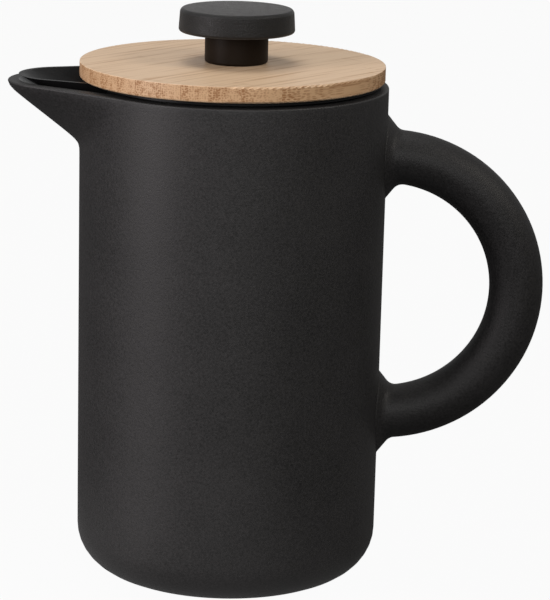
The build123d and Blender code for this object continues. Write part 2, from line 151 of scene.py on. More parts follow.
class LidSizes(bpy.types.PropertyGroup):
    """Sizes of the bamboo lid, the knob and the garter spring."""

    strip_width: length("Strip width", "Width of one bamboo strip", 0.00825)
    strip_turn: angle("Strip direction", "Direction of the strips from the handle's side", 50.0)
    strip_start: length("Strip start", "Offset of a strip's edge from the middle", 0.0190)
    edge_round: length("Edge rounding", "Radius of the disc's edges in the frame", 0.0008)
    crispness: FloatProperty(
        name="Top edge crispness", description="How square the sanded top edge is; 2 is round",
        default=10.0, min=2.0,
    )
    crown: length("Crown", "Height of the cap's crown in the frame", 0.0019)
    crown_width: length("Crown width", "Width of the crown's curve in the frame", 0.0040)
    shoulder: length("Shoulder", "Size of the cap's rounded upper edge", 0.0011)
    top_drop: length("Top drop", "How far the cap's flat top is turned down", 0.0003)
    skirt_drop: length("Skirt drop", "How far the cap's lower edge is drawn down", 0.0003)
    disc_shift: length("Disc shift", "How far the loose lid lies towards the spout", 0.0007)
    knob_shift: length("Knob shift", "How far the knob stands towards the handle", 0.0004)
    coil_turns: IntProperty(name="Spring turns", description="Turns of its wire", default=132, min=12)
    coil_wire: length("Spring wire", "Radius of the spring's wire", 0.00036)


class PressColours(bpy.types.PropertyGroup):
    """Colours of the finishes."""

    stoneware_dark: colour("Stoneware dark", "Darker grain of the stoneware", (0.0026, 0.0025, 0.0025))
    stoneware_pale: colour("Stoneware pale", "Paler grain of the stoneware", (0.0230, 0.0219, 0.0222))
    bamboo_pale: colour("Bamboo pale", "Pale fibre of the bamboo", (0.690, 0.500, 0.330))
    bamboo_edge: colour("Bamboo edge", "Oiled end grain of the bamboo", (0.830, 0.720, 0.600))
    bamboo_brown: colour("Bamboo brown", "Brown fibre of the bamboo", (0.370, 0.205, 0.095))
    knob: colour("Knob cap", "Matte cap of the knob", (0.0055, 0.0054, 0.0053))
    stem: colour("Knob stem", "Smooth stem of the knob", (0.0076, 0.0042, 0.0020))
    plastic: colour("Black plastic", "Moulded insert of the lid", (0.0065, 0.0065, 0.0068))
    silicone: colour("Silicone", "Sealing ring", (0.0200, 0.0200, 0.0205))
    steel: colour("Steel", "Turned and pressed steel", (0.560, 0.550, 0.540))
    brass: colour("Brass", "Threaded sleeve in the knob", (0.700, 0.480, 0.210))


class StageSettings(bpy.types.PropertyGroup):
    """Camera and light."""

    lens: FloatProperty(name="Lens", description="Focal length in millimetres", default=165.32)
    tilt: angle("Tilt", "Camera's tilt below level", 13.897)
    roll: angle("Roll", "Camera's roll", 1.400)
    distance: length("Distance", "Camera's distance from the point it looks at", 0.950)
    aim: FloatVectorProperty(
        name="Aim", description="Point the camera looks at", default=(0.015445, 0.0, 0.094785),
        subtype="XYZ", size=3,
    )
    floor: colour("Floor", "Pale floor", (0.300, 0.299, 0.298))


def jug_sizes():
    return bpy.context.scene.press_jug


def lid_sizes():
    return bpy.context.scene.press_lid


def colours():
    return bpy.context.scene.press_colours


# Objects


def deselect():
    if bpy.context.mode != "OBJECT":
        bpy.ops.object.mode_set(mode="OBJECT")
    bpy.ops.object.select_all(action="DESELECT")


def activate(piece):
    deselect()
    piece.select_set(True)
    bpy.context.view_layer.objects.active = piece


def settle(piece, name):
    """Puts the piece's place into its mesh and names it."""
    activate(piece)
    bpy.ops.object.transform_apply(location=True, rotation=True, scale=True)
    piece.name = name
    piece.data.name = name
    return piece


def first_point(x, y, z):
    """A new mesh of one vertex, left in edit mode with the vertex selected."""
    deselect()
    bpy.ops.mesh.primitive_plane_add(size=0.001, location=(x, y, z))
    piece = bpy.context.object
    bpy.ops.object.transform_apply(location=True, rotation=True, scale=True)
    bpy.ops.object.mode_set(mode="EDIT")
    bpy.ops.mesh.select_all(action="SELECT")
    bpy.ops.mesh.merge(type="CENTER")
    return piece


def draw_on(points):
    """Extrudes the selected vertex from point to point."""
    for last, following in zip(points, points[1:]):
        bpy.ops.mesh.extrude_region_move(TRANSFORM_OT_translate={"value": Vector(following) - Vector(last)})


@contextmanager
def editing(piece):
    """Edit mode, with the piece's mesh as a bmesh that is written back at the end."""
    bpy.ops.object.mode_set(mode="EDIT")
    yield bmesh.from_edit_mesh(piece.data)
    bmesh.update_edit_mesh(piece.data)
    bpy.ops.object.mode_set(mode="OBJECT")


def face_outward():
    """Turns the active piece's normals outward."""
    bpy.ops.object.mode_set(mode="EDIT")
    bpy.ops.mesh.select_all(action="SELECT")
    bpy.ops.mesh.normals_make_consistent(inside=False)
    bpy.ops.object.mode_set(mode="OBJECT")


def smooth(degrees):
    """Shades the active piece smooth, but for edges sharper than the angle."""
    bpy.ops.object.shade_smooth_by_angle(angle=math.radians(degrees))


def distance_out(vertex):
    """The vertex's distance from the press's axis."""
    return math.hypot(vertex.co.x, vertex.co.y)


def merged_copy(node, name, crease=35.0):
    """A copy of a CAD node with its loose triangles joined and its round faces smooth."""
    source = frame["nodes"][node]
    piece = bpy.data.objects.new(name, source.data.copy())
    piece.data.name = name
    piece.data.materials.clear()
    bpy.context.scene.collection.objects.link(piece)
    activate(piece)
    bpy.ops.mesh.customdata_custom_splitnormals_clear()
    bpy.ops.object.mode_set(mode="EDIT")
    bpy.ops.mesh.select_all(action="SELECT")
    bpy.ops.mesh.remove_doubles(threshold=SAME_POINT)
    bpy.ops.object.mode_set(mode="OBJECT")
    smooth(crease)
    return piece


def dress(piece, material, body=None, slot=None, *nodes):
    """Gives a piece its finish and its body, and hides the nodes it stands for; the slot is not used."""
    piece.data.materials.clear()
    piece.data.materials.append(material)
    if body:
        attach(piece, body)
    if nodes:
        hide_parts(*nodes)
    return piece


# Shader nodes


SOCKETS = {
    "color": "Base Color", "rough": "Roughness", "metal": "Metallic", "normal": "Normal",
    "level": "Specular IOR Level", "sheen": "Sheen Weight", "sheen_rough": "Sheen Roughness",
}


def give(tree, socket, value):
    """Links the socket to another one, or sets its plain value."""
    if isinstance(value, bpy.types.NodeSocket):
        tree.links.new(value, socket)
    else:
        socket.default_value = value


def put(tree, kind, feeds=None, **settings):
    """Adds a node; feeds are links or plain values by socket name or number."""
    node = tree.nodes.new(kind)
    for key, value in settings.items():
        setattr(node, key, value)
    for socket, value in (feeds or {}).items():
        give(tree, node.inputs[socket], value)
    return node


def calc(tree, operation, *values, clamp=False):
    feeds = dict(enumerate(values))
    return put(tree, "ShaderNodeMath", feeds, operation=operation, use_clamp=clamp).outputs[0]


def weigh(tree, share, first, second):
    """A share of the first value with the rest of the second."""
    return calc(tree, "MULTIPLY_ADD", first, share, calc(tree, "MULTIPLY", second, 1.0 - share))


def between(tree, factor, first, second):
    """The value that lies a linked share of the way from the first to the second."""
    return put(tree, "ShaderNodeMix", {0: factor, 2: first, 3: second}, data_type="FLOAT").outputs[0]


def blend(tree, factor, first, second, mode="MIX"):
    """A colour between two others."""
    feeds = {0: factor, 6: first, 7: second}
    return put(tree, "ShaderNodeMix", feeds, data_type="RGBA", blend_type=mode).outputs[2]


def spread(tree, value, low, high, to_low=0.0, to_high=1.0, smooth_ends=False):
    """Maps the range from low to high onto another, and keeps the value inside it."""
    kind = "SMOOTHSTEP" if smooth_ends else "LINEAR"
    feeds = {"Value": value, "From Min": low, "From Max": high, "To Min": to_low, "To Max": to_high}
    return put(tree, "ShaderNodeMapRange", feeds, interpolation_type=kind, clamp=True).outputs[0]


def noise(tree, spot, scale, detail, roughness=0.5):
    feeds = {"Vector": spot, "Scale": scale, "Detail": detail, "Roughness": roughness}
    return put(tree, "ShaderNodeTexNoise", feeds).outputs["Fac"]


def joined(tree, x, y, z):
    return put(tree, "ShaderNodeCombineXYZ", {"X": x, "Y": y, "Z": z}).outputs[0]


def parted(tree, vector):
    return put(tree, "ShaderNodeSeparateXYZ", {0: vector}).outputs


def vector_calc(tree, operation, *values):
    return put(tree, "ShaderNodeVectorMath", dict(enumerate(values)), operation=operation).outputs


def rgba(values, share=1.0):
    """A colour times a share, as a colour socket takes it."""
    return (*(min(1.0, part * share) for part in values), 1.0)


def new_finish(name):
    """A material with an empty Principled shader."""
    material = bpy.data.materials.new(name)
    material.use_nodes = True
    tree = material.node_tree
    tree.nodes.clear()
    shader = put(tree, "ShaderNodeBsdfPrincipled")
    put(tree, "ShaderNodeOutputMaterial", {"Surface": shader.outputs["BSDF"]})
    return material, tree, shader


def feed(tree, shader, **sockets):
    """Links or sets the shader's sockets, by their short names."""
    for key, value in sockets.items():
        give(tree, shader.inputs[SOCKETS[key]], value)


def bump(tree, height, strength, distance):
    feeds = {"Height": height, "Strength": strength, "Distance": distance}
    return put(tree, "ShaderNodeBump", feeds).outputs["Normal"]


def group(name, inputs, outputs):
    """A new shader node group; returns tree, its input sockets and its output node."""
    tree = bpy.data.node_groups.new(name, "ShaderNodeTree")
    for label, kind in inputs:
        tree.interface.new_socket(name=label, in_out="INPUT", socket_type=kind)
    for label, kind in outputs:
        tree.interface.new_socket(name=label, in_out="OUTPUT", socket_type=kind)
    source = tree.nodes.new("NodeGroupInput")
    sink = tree.nodes.new("NodeGroupOutput")
    return tree, source.outputs, sink


def shared_group(name, maker):
    return bpy.data.node_groups.get(name) or maker(name)


def use(tree, shared, **feeds):
    return put(tree, "ShaderNodeGroup", feeds, node_tree=shared).outputs


def place(tree):
    return put(tree, "ShaderNodeTexCoord").outputs["Object"]


def make_grain(name):
    """Fine grain, slow clouds and a height for fired, cast and moulded surfaces."""
    tree, given, sink = group(
        name,
        [("Place", "NodeSocketVector"), ("Grain", "NodeSocketFloat"), ("Cloud", "NodeSocketFloat")],
        [("Grain", "NodeSocketFloat"), ("Cloud", "NodeSocketFloat"), ("Height", "NodeSocketFloat")],
    )
    spot = given["Place"]
    grain = spread(tree, noise(tree, spot, given["Grain"], 3.0, 0.65), *NOISE_RANGE)
    cloud = spread(tree, noise(tree, spot, given["Cloud"], 4.0, 0.55), *NOISE_RANGE)
    cells = put(tree, "ShaderNodeTexVoronoi", {"Vector": spot, "Scale": given["Grain"]})
    pit = spread(tree, cells.outputs["Distance"], 0.0, 0.45)
    tree.links.new(grain, sink.inputs["Grain"])
    tree.links.new(cloud, sink.inputs["Cloud"])
    tree.links.new(weigh(tree, 0.35, pit, grain), sink.inputs["Height"])
    return tree


def make_turned(name):
    """Fine rings left by turning, about the press's axis."""
    tree, given, sink = group(
        name,
        [("Place", "NodeSocketVector"), ("Rings", "NodeSocketFloat")],
        [("Streak", "NodeSocketFloat"), ("Smudge", "NodeSocketFloat")],
    )
    x, y, z = parted(tree, given["Place"])
    radius = vector_calc(tree, "LENGTH", joined(tree, x, y, 0.0))["Value"]
    streak = noise(tree, joined(tree, radius, 0.0, z), given["Rings"], 4.0, 0.7)
    smudge = noise(tree, given["Place"], 90.0, 3.0)
    tree.links.new(spread(tree, streak, *NOISE_RANGE), sink.inputs["Streak"])
    tree.links.new(spread(tree, smudge, 0.35, 0.65), sink.inputs["Smudge"])
    return tree


# Finishes


def stoneware(name, level, relief, glazed=False):
    """Matte black fired clay with fine grain and faint clouds; glazed adds a smooth glaze inside."""
    material, tree, shader = new_finish(name)
    tone = colours()
    spot = put(tree, "ShaderNodeTexCoord").outputs
    clay = shared_group("fired_grain", make_grain)
    grain = use(tree, clay, Place=spot["Object"], Grain=1350.0, Cloud=38.0)
    speck = weigh(tree, 0.25, grain["Cloud"], grain["Grain"])
    rough = spread(tree, grain["Grain"], 0.0, 1.0, 0.45, 0.59)
    height = grain["Height"]
    if glazed:
        outward = vector_calc(tree, "MULTIPLY", spot["Object"], (1.0, 1.0, 0.0))[0]
        facing = vector_calc(tree, "DOT_PRODUCT", outward, spot["Normal"])["Value"]
        glaze = spread(tree, facing, -0.006, -0.020)
        glaze_rough = spread(tree, grain["Cloud"], 0.0, 1.0, 0.20, 0.27)
        rough = between(tree, glaze, rough, glaze_rough)
        height = calc(tree, "MULTIPLY", height, calc(tree, "SUBTRACT", 1.0, glaze))
    feed(
        tree,
        shader,
        color=blend(tree, speck, rgba(tone.stoneware_dark), rgba(tone.stoneware_pale)),
        rough=rough,
        level=level,
        normal=bump(tree, height, relief, 0.00025),
    )
    return material


def bamboo():
    """Laminated strips: each with its own tone, fibres that end as dots on the edge, and nodes across."""
    material, tree, shader = new_finish("bamboo_oiled")
    size = lid_sizes()
    tone = colours()
    fibre_stretch, fine_scale, broad_scale, bundle_scale = 0.032, 1500.0, 560.0, 1350.0
    knot_field, knot_half, knot_core = 0.15, 0.0014, 0.0002
    spot = put(tree, "ShaderNodeTexCoord").outputs
    direction = {"Vector": spot["Object"], "Rotation": (0.0, 0.0, -size.strip_turn)}
    along, across, up = parted(tree, put(tree, "ShaderNodeMapping", direction).outputs[0])

    # Each strip has a number, a place within its width and a tone of its own
    count = calc(tree, "DIVIDE", calc(tree, "ADD", across, size.strip_start), size.strip_width)
    strip = calc(tree, "FLOOR", count)
    share = calc(tree, "FRACT", count)
    wave = calc(tree, "SINE", calc(tree, "MULTIPLY_ADD", strip, 4.06, 3.9))
    own = calc(tree, "MULTIPLY_ADD", wave, 0.5, 0.5)
    shift = calc(tree, "MULTIPLY", strip, 0.37)

    # Fibres run along the strip, as fine lines and broader streaks
    fibre = joined(tree, calc(tree, "MULTIPLY_ADD", along, fibre_stretch, shift), across, up)
    fine = noise(tree, fibre, fine_scale, 2.0)
    streak = spread(tree, noise(tree, fibre, broad_scale, 3.0), 0.44, 0.74, smooth_ends=True)

    # Bundles of fibres are cut to dots at the disc's edge, and are denser towards the rind
    bend = calc(tree, "SINE", calc(tree, "MULTIPLY_ADD", along, 55.0, shift))
    section = joined(tree, across, calc(tree, "MULTIPLY_ADD", bend, 0.0008, up), 0.0)
    cells = {"Vector": section, "Scale": bundle_scale, "Randomness": 0.65}
    bundles = put(tree, "ShaderNodeTexVoronoi", cells, voronoi_dimensions="2D").outputs["Distance"]
    level = calc(tree, "ABSOLUTE", parted(tree, spot["Normal"])["Z"])
    edge = calc(tree, "SUBTRACT", 1.0, level, clamp=True)
    rind = calc(tree, "POWER", share, 1.6)
    bundle = spread(tree, calc(tree, "MULTIPLY_ADD", rind, -0.16, bundles), 0.38, 0.18, smooth_ends=True)
    darkness = spread(tree, rind, 0.0, 1.0, 0.60, 1.0)
    dots = calc(tree, "MULTIPLY", darkness, spread(tree, edge, 0.2, 0.9, 0.12, 0.85))

    # One node of the cane crosses each strip, and a glue line parts it from the next
    seed = {"W": calc(tree, "ADD", strip, 23.5)}
    chance = put(tree, "ShaderNodeTexWhiteNoise", seed, noise_dimensions="1D").outputs["Color"]
    knot_at = calc(tree, "MULTIPLY", calc(tree, "SUBTRACT", chance, 0.5), knot_field)
    from_knot = calc(tree, "ABSOLUTE", calc(tree, "SUBTRACT", along, knot_at))
    knot = spread(tree, from_knot, knot_half, knot_core, smooth_ends=True)
    seam = spread(tree, calc(tree, "ABSOLUTE", calc(tree, "SUBTRACT", share, 0.5)), 0.470, 0.495)

    value = calc(tree, "MULTIPLY_ADD", own, 0.20, -0.25)
    for part, weight in (
        (streak, 0.74),
        (calc(tree, "SUBTRACT", fine, 0.5), 0.85),
        (calc(tree, "MULTIPLY", rind, edge), 0.16),
        (bundle, dots),
        (knot, 0.22),
    ):
        value = calc(tree, "MULTIPLY_ADD", part, weight, value)
    value = calc(tree, "MULTIPLY_ADD", seam, spread(tree, edge, 0.2, 0.9, 0.04, 0.28), value, clamp=True)
    height = calc(tree, "MULTIPLY_ADD", bundle, -0.5, calc(tree, "MULTIPLY", fine, 0.5))
    wood = blend(tree, value, rgba(tone.bamboo_pale), rgba(tone.bamboo_brown))
    feed(
        tree,
        shader,
        color=blend(tree, edge, wood, rgba(tone.bamboo_edge), "MULTIPLY"),
        rough=spread(tree, value, 0.0, 1.0, 0.42, 0.60),
        normal=bump(tree, height, 0.12, 0.0002),
    )
    return material


def moulded(name, base, dark, rough, grain, relief, level=0.5, sheen=0.0, cloud=70.0):
    """Cast or moulded surface with fine grain and slow clouds."""
    material, tree, shader = new_finish(name)
    surface = use(tree, shared_group("fired_grain", make_grain), Place=place(tree), Grain=grain, Cloud=cloud)
    speck = weigh(tree, 0.5, surface["Cloud"], surface["Grain"])
    feed(
        tree,
        shader,
        color=blend(tree, speck, rgba(base, dark), rgba(base, 2.0 - dark)),
        rough=spread(tree, speck, 0.0, 1.0, *rough),
        level=level,
        normal=bump(tree, surface["Height"], relief, 0.0002),
        sheen=sheen,
        sheen_rough=SHEEN_ROUGH,
    )
    return material


def metal(name, base, rough, rings, relief=0.08):
    """Turned metal with fine rings and faint smudges."""
    material, tree, shader = new_finish(name)
    turned = use(tree, shared_group("turned_rings", make_turned), Place=place(tree), Rings=rings)
    wear = weigh(tree, 0.5, turned["Smudge"], turned["Streak"])
    feed(
        tree,
        shader,
        color=blend(tree, wear, rgba(base, 0.90), rgba(base, 1.10)),
        metal=1.0,
        rough=spread(tree, wear, 0.0, 1.0, *rough),
        normal=bump(tree, turned["Streak"], relief, 0.0001),
    )
    return material


def woven_mesh():
    """Plain weave of fine wire: over and under in both directions, round the upturned edge too."""
    material, tree, shader = new_finish("mesh_steel")
    base = colours().steel
    pitch, edge_radius = 0.00062, 0.0466
    spot = put(tree, "ShaderNodeTexCoord").outputs
    x, y, z = parted(tree, spot["Object"])
    flat = spread(tree, calc(tree, "ABSOLUTE", parted(tree, spot["Normal"])["Z"]), 0.4, 0.6)
    round_way = calc(tree, "MULTIPLY", calc(tree, "ARCTAN2", y, x), edge_radius)
    ways = between(tree, flat, round_way, x), between(tree, flat, z, y)

    def waves(turn):
        return [calc(tree, "SINE", calc(tree, "MULTIPLY", way, turn / pitch)) for way in ways]

    over = calc(tree, "MULTIPLY", *waves(2 * math.pi))
    wires = calc(tree, "MAXIMUM", *(calc(tree, "ABSOLUTE", wave) for wave in waves(math.pi)))
    wire = spread(tree, wires, 0.45, 0.75)
    # Between the wires the colour is painted dark: painted shade for the holes in the weave
    feed(
        tree,
        shader,
        color=blend(tree, wire, rgba(base, 0.10), rgba(base)),
        metal=1.0,
        rough=spread(tree, wire, 0.0, 1.0, 0.75, 0.32),
        normal=bump(tree, calc(tree, "MULTIPLY_ADD", over, 0.25, wires), 0.45, 0.0002),
    )
    return material


# Jug


def soft_max(first, second, softness):
    """The larger of two values, rounded where they meet."""
    near = max(softness - abs(first - second), 0.0) / softness
    return max(first, second) + near * near * softness / 4


def spout_reach(size, turn, level):
    """Outer reach of the spout at an angle from its own direction and a height."""
    core = size.mouth_radius - size.core_inset
    run = (level - size.rim_height + size.keel_drop) / math.tan(size.keel_angle)
    tip = core + (run + math.hypot(run, size.keel_blend)) / 2
    end = core + size.keel_drop / math.tan(size.keel_angle) - size.spout_blunt
    tip = (tip + end - math.hypot(tip - end, size.spout_turn)) / 2
    radius = size.tip_radius - size.tip_taper * (size.rim_height - level)
    centre = tip - radius
    side = math.asin((core - radius) / centre)
    at_tip = math.atan2(radius * math.cos(side), centre + radius * math.sin(side))
    at_core = math.pi / 2 - side
    if turn <= at_tip:
        return centre * math.cos(turn) + math.sqrt(max(radius**2 - (centre * math.sin(turn)) ** 2, 0.0))
    if turn <= at_core:
        return core / math.cos(turn - at_core)
    return core


def hollow_reach(size, turn, level):
    """Reach of the spout's hollow at an angle from its own direction and a height."""
    bore = size.mouth_radius - size.wall
    start = size.rim_height - size.pour_drop
    tip = bore + (size.pour_tip - bore) / size.pour_drop * (level - start)
    radius = size.pour_radius - size.tip_taper * (size.rim_height - level)
    centre = tip - radius
    at_side = math.pi / 2 - size.pour_side
    at_tip = math.atan2(radius * math.cos(size.pour_side), centre + radius * math.sin(size.pour_side))
    if turn <= at_tip:
        return centre * math.cos(turn) + math.sqrt(max(radius**2 - (centre * math.sin(turn)) ** 2, 0.0))
    return (centre * math.sin(size.pour_side) + radius) / math.cos(min(turn, at_side) - at_side)


def steps_to(start, end, steps):
    """Even steps from start to end, without start."""
    return [start + (end - start) * step / steps for step in range(1, steps + 1)]


def corner(at, slope, way, radius, steps):
    """Rounds the edge between a wall of that slope and the flat rim; way is 1 outside and -1 inside."""
    down = Vector((-slope, -1.0)).normalized()
    top = Vector((-way, 0.0))
    half = down.angle(top) / 2
    run = radius / math.tan(half)
    middle = at + (down + top).normalized() * radius / math.sin(half)
    first, last = at + down * run - middle, at + top * run - middle
    swing = first.angle_signed(last)
    return [middle + Matrix.Rotation(-swing * step / steps, 2) @ first for step in range(steps + 1)]


def jug_section(size, turn):
    """Half section of the jug at an angle from the spout, from under the floor round to the inside."""
    high = size.rim_height
    bore = size.mouth_radius - size.wall

    def outside(level):
        wall = size.base_radius + (size.mouth_radius - size.base_radius) * level / high
        if level < high - size.keel_drop - 3 * size.keel_blend:
            return wall
        return soft_max(wall, spout_reach(size, turn, level), size.valley)

    def inside(level):
        if level < high - size.pour_drop - size.rim_round:
            return bore
        return soft_max(bore, hollow_reach(size, turn, level), size.valley)

    def edge(reach, way, radius, steps):
        drop = 0.0005
        slope = (reach(high) - reach(high - drop)) / drop
        return corner(Vector((reach(high), high)), slope, way, radius, steps)

    outer = edge(outside, 1, size.rim_round, RIM_STEPS)
    inner = edge(inside, -1, size.lip_round, LIP_STEPS)
    hollow = size.foot_radius - size.foot_rise
    points = [(0.0, size.foot_rise), (hollow, size.foot_rise), (size.foot_radius, 0.0)]
    for degrees in range(-90, 10, 10):
        arc = math.radians(degrees)
        points.append((size.base_radius - size.base_round * (1 - math.cos(arc)),
                       size.base_round * (1 + math.sin(arc))))
    spout_foot = high - SPOUT_DEPTH
    levels = steps_to(size.base_round, spout_foot, 10) + steps_to(spout_foot, outer[0].y, 24)[:-1]
    points += [(outside(level), level) for level in levels]
    points += [tuple(p) for p in outer]
    points.append(tuple((outer[-1] + inner[-1]) / 2))
    points += [tuple(p) for p in reversed(inner)]
    hollow_foot = high - HOLLOW_DEPTH
    bore_foot = size.floor + size.bore_round
    points += [(inside(level), level) for level in steps_to(inner[0].y, hollow_foot, 16)]
    points += [(bore, level) for level in steps_to(hollow_foot, bore_foot, 8)]
    for degrees in range(10, 100, 10):
        arc = math.radians(degrees)
        points.append((bore - size.bore_round * (1 - math.cos(arc)),
                       bore_foot - size.bore_round * math.sin(arc)))
    points.append((0.0, size.floor))
    return points


def throw_jug():
    """Spins the plain section round the axis, then pulls the spout out of the rim."""
    size = jug_sizes()
    plain = jug_section(size, math.pi)
    points = [(r, 0.0, z) for r, z in plain]
    piece = first_point(*points[0])
    draw_on(points)
    bpy.ops.mesh.select_all(action="SELECT")
    bpy.ops.mesh.spin(steps=size.segments, angle=2 * math.pi, center=(0, 0, 0), axis=(0, 0, 1))
    bpy.ops.mesh.select_all(action="SELECT")
    bpy.ops.mesh.remove_doubles(threshold=SPIN_SEAM)
    shape = bmesh.from_edit_mesh(piece.data)
    known = {(round(r, 6), round(z, 6)): number for number, (r, z) in enumerate(plain)}
    sections = {}
    for vertex in shape.verts:
        radius, level = distance_out(vertex), vertex.co.z
        if radius < AXIS:
            continue
        heading = math.atan2(vertex.co.y, -vertex.co.x)
        turn = round(abs(heading), 5)
        if turn not in sections:
            sections[turn] = jug_section(size, turn)
        number = known.get((round(radius, 6), round(level, 6)))
        if number is None:
            number = min(range(len(plain)), key=lambda n: math.dist(plain[n], (radius, level)))
        reach, level = sections[turn][number]
        vertex.co = (-reach * math.cos(heading), reach * math.sin(heading), level)
    bmesh.update_edit_mesh(piece.data)
    bpy.ops.mesh.normals_make_consistent(inside=False)
    bpy.ops.object.mode_set(mode="OBJECT")
    settle(piece, "thrown_jug")
    smooth(40.0)
    return piece


def lute_handle():
    """The handle, with the clay of each root smoothed out along the wall."""
    size = jug_sizes()
    piece = merged_copy("handle", "pulled_handle")
    low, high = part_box("handle")
    middle = (low.z + high.z) / 2

    def wall(level):
        return size.base_radius + (size.mouth_radius - size.base_radius) * level / jug_high.z

    def gap(vertex):
        return distance_out(vertex) - wall(vertex.co.z)

    def raised(vertex):
        neighbours = (edge.other_vert(vertex) for edge in vertex.link_edges)
        return [other for other in neighbours if gap(other) > OFF_WALL]

    with editing(piece) as shape:
        seat = {vertex for vertex in shape.verts if gap(vertex) < ON_WALL and raised(vertex)}
        rise = {other for vertex in seat for other in raised(vertex)}
        for vertices, proud in ((seat, ROOT_SINK), (rise, ROOT_PROUD)):
            for vertex in vertices:
                root = middle + math.copysign(size.root_space, vertex.co.z - middle)
                away = Vector((vertex.co.y, vertex.co.z - root))
                away += away.normalized() * size.root_smooth
                radius = wall(root + away.y) + proud
                vertex.co = (math.sqrt(radius**2 - away.x**2), away.x, root + away.y)
    face_outward()
    smooth(40.0)
    return piece


class PRESS_OT_jug(bpy.types.Operator):
    """Throw the stoneware jug, pull its spout and lute on the handle"""

    bl_idname = "press.jug"
    bl_label = "Jug and Handle"

    def execute(self, context):
        wall = stoneware("stoneware_matte_black", level=0.40, relief=0.14, glazed=True)
        grip = stoneware("stoneware_handle", level=0.235, relief=0.32)
        dress(throw_jug(), wall, "jug", "stoneware", "jug")
        dress(lute_handle(), grip, "jug", "stoneware", "handle")
        return {"FINISHED"}


# Lid, knob and plunger


def sand_disc():
    """The lid's disc, with its top edge sanded less round than its underside."""
    size = lid_sizes()
    power = size.crispness
    piece = merged_copy("lid_disc", "bamboo_disc")
    start = Vector((lid_high.x - size.edge_round, lid_high.z - size.edge_round))
    with editing(piece) as shape:
        for vertex in shape.verts:
            radius = distance_out(vertex)
            out, rise = radius - start.x, vertex.co.z - start.y
            if min(out, rise) > 0.000001:
                turn = math.atan2(rise, out)
                square = (math.cos(turn) ** power + math.sin(turn) ** power) ** (1 / power)
                vertex.co.xy *= (start.x + size.edge_round * math.cos(turn) / square) / radius
                vertex.co.z = start.y + size.edge_round * math.sin(turn) / square
            if radius > OUTER_SHARE * start.x:
                vertex.co.x -= size.disc_shift
    smooth(35.0)
    return piece


class PRESS_OT_lid(bpy.types.Operator):
    """Finish the bamboo disc, its black insert, the seal, the screws and the rod's guide"""

    bl_idname = "press.lid"
    bl_label = "Lid"

    def execute(self, context):
        tone = colours()
        nodes = frame["nodes"]
        dress(sand_disc(), bamboo(), "lid", "bamboo", "lid_disc")
        black = moulded(
            "black_satin_plastic", tone.plastic,
            dark=0.85, rough=(0.30, 0.42), grain=1500.0, relief=0.10, level=0.16,
        )
        dress(merged_copy("lid_insert", "pouring_insert", 30.0), black, "lid", "black_plastic", "lid_insert")
        rubber = moulded(
            "silicone_black", tone.silicone,
            dark=0.85, rough=(0.45, 0.6), grain=900.0, relief=0.05,
        )
        dress(nodes["lid_seal"], rubber)
        dress(nodes["lid_screws"], metal("screw_steel", tone.steel, rough=(0.22, 0.36), rings=5200.0))
        nylon = moulded(
            "guide_nylon", tone.plastic,
            dark=0.8, rough=(0.40, 0.52), grain=1200.0, relief=0.08,
        )
        dress(nodes["rod_guide"], nylon)
        return {"FINISHED"}


def turn_cap():
    """The knob's cap, with the crown turned to a flat top with a small shoulder, and a deeper side."""
    size = lid_sizes()
    piece = merged_copy("knob_cap", "knob_disc")
    low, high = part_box("knob_cap")
    edge = high.z - size.crown
    lift = size.crown - size.shoulder - size.top_drop
    with editing(piece) as shape:
        rim = max(distance_out(vertex) for vertex in shape.verts if vertex.co.z > edge)
        flat = rim - size.crown_width
        for vertex in shape.verts:
            radius = distance_out(vertex)
            outer = radius > OUTER_SHARE * flat
            if vertex.co.z > edge:
                if outer:
                    vertex.co.xy *= (rim - (rim - radius) * size.shoulder / size.crown_width) / radius
                vertex.co.z = high.z - size.top_drop - (high.z - vertex.co.z) * size.shoulder / size.crown
            elif radius > flat:
                share = (vertex.co.z - low.z) / (edge - low.z)
                vertex.co.z += lift * share - size.skirt_drop * (1 - share)
            if outer:
                vertex.co.x += size.knob_shift
    smooth(35.0)
    return piece


def set_neck():
    """The knob's stem, its outer wall set towards the handle and its bore left on the rod's axis."""
    piece = merged_copy("knob_stem", "knob_neck")
    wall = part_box("knob_stem")[1].x
    with editing(piece) as shape:
        for vertex in shape.verts:
            if distance_out(vertex) > OUTER_SHARE * wall:
                vertex.co.x += lid_sizes().knob_shift
    return piece


class PRESS_OT_knob(bpy.types.Operator):
    """Finish the knob's cap, stem and threaded sleeve"""

    bl_idname = "press.knob"
    bl_label = "Knob"

    def execute(self, context):
        tone = colours()
        cap = moulded(
            "knob_matte_grey", tone.knob,
            dark=0.60, rough=(0.38, 0.66), grain=1700.0, relief=0.45, level=0.26, sheen=0.10, cloud=420.0,
        )
        stem = moulded(
            "knob_smooth_black", tone.stem,
            dark=0.92, rough=(0.48, 0.58), grain=900.0, relief=0.03, level=0.10,
        )
        dress(turn_cap(), cap, "plunger", "knob_matte", "knob_cap")
        dress(set_neck(), stem, "plunger", "knob_smooth", "knob_stem")
        brass = metal("brass_sleeve", tone.brass, rough=(0.20, 0.34), rings=4200.0)
        dress(frame["nodes"]["knob_thread"], brass)
        return {"FINISHED"}


